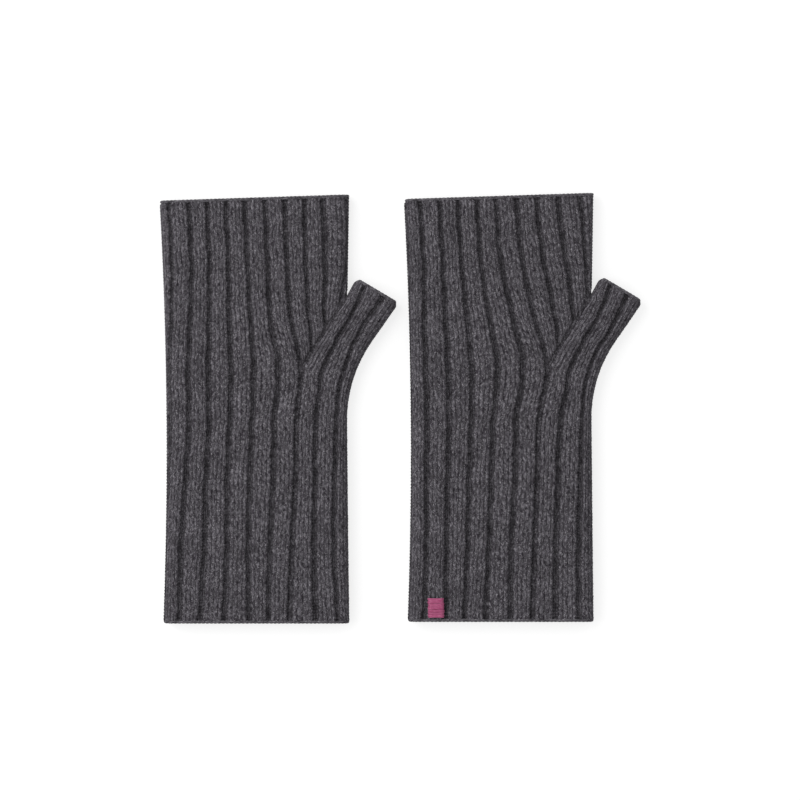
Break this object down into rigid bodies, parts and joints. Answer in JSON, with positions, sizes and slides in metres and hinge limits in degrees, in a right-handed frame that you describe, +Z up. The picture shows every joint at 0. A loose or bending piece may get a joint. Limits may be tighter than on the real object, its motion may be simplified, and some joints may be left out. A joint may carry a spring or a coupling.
{
  "type": "fingerless gloves",
  "caption": "Ribbed knit fingerless gloves lying flat, with open hand and thumb tubes that fold, cast-off edges and linked side seams.",
  "frame": {"origin": "bottom centre of the pair's bounding box, on the table", "axes": "+Z up off the table, +Y from the cuffs to the hand openings, +X towards the thumbs"},
  "size_m": [0.2364, 0.2106, 0.0118],
  "materials": {
    "ribbed_wool": "heathered charcoal wool rib, matt",
    "linking_yarn": "charcoal wool yarn, matt",
    "cast_off_yarn": "charcoal wool yarn, matt",
    "pink_satin_stitch": "pink embroidery yarn, soft sheen"
  },
  "bodies": {
    "left_glove": {"left_back_panel": "ribbed_wool", "left_palm_panel": "ribbed_wool", "left_little_finger_side_seam": "linking_yarn", "left_wrist_side_seam": "linking_yarn", "left_hand_side_seam": "linking_yarn", "left_cuff_edge": "cast_off_yarn", "left_hand_opening_edge": "cast_off_yarn"},
    "left_thumb": {"left_thumb_back_panel": "ribbed_wool", "left_thumb_palm_panel": "ribbed_wool", "left_thumb_outer_seam": "linking_yarn", "left_thumb_inner_seam": "linking_yarn", "left_thumb_opening_edge": "cast_off_yarn"},
    "right_glove": {"right_back_panel": "ribbed_wool", "right_palm_panel": "ribbed_wool", "right_little_finger_side_seam": "linking_yarn", "right_wrist_side_seam": "linking_yarn", "right_hand_side_seam": "linking_yarn", "right_cuff_edge": "cast_off_yarn", "right_hand_opening_edge": "cast_off_yarn", "pink_tack": "pink_satin_stitch"},
    "right_thumb": {"right_thumb_back_panel": "ribbed_wool", "right_thumb_palm_panel": "ribbed_wool", "right_thumb_outer_seam": "linking_yarn", "right_thumb_inner_seam": "linking_yarn", "right_thumb_opening_edge": "cast_off_yarn"}
  },
  "joints": [
    {"name": "left_thumb_fold", "type": "hinge", "parent": "left_glove", "child": "left_thumb", "pos_m": [-0.02568, 0.0347, 0.0112], "axis": [0, -1, 0], "range_deg": [0, 150]},
    {"name": "right_thumb_fold", "type": "hinge", "parent": "right_glove", "child": "right_thumb", "pos_m": [0.09402, 0.0355, 0.0112], "axis": [0, -1, 0], "range_deg": [0, 150]},
    {"name": "right_glove_lift", "type": "slide", "parent": "left_glove", "child": "right_glove", "axis": [0, 0, 1], "range_m": [0, 0.12]}
  ]
}
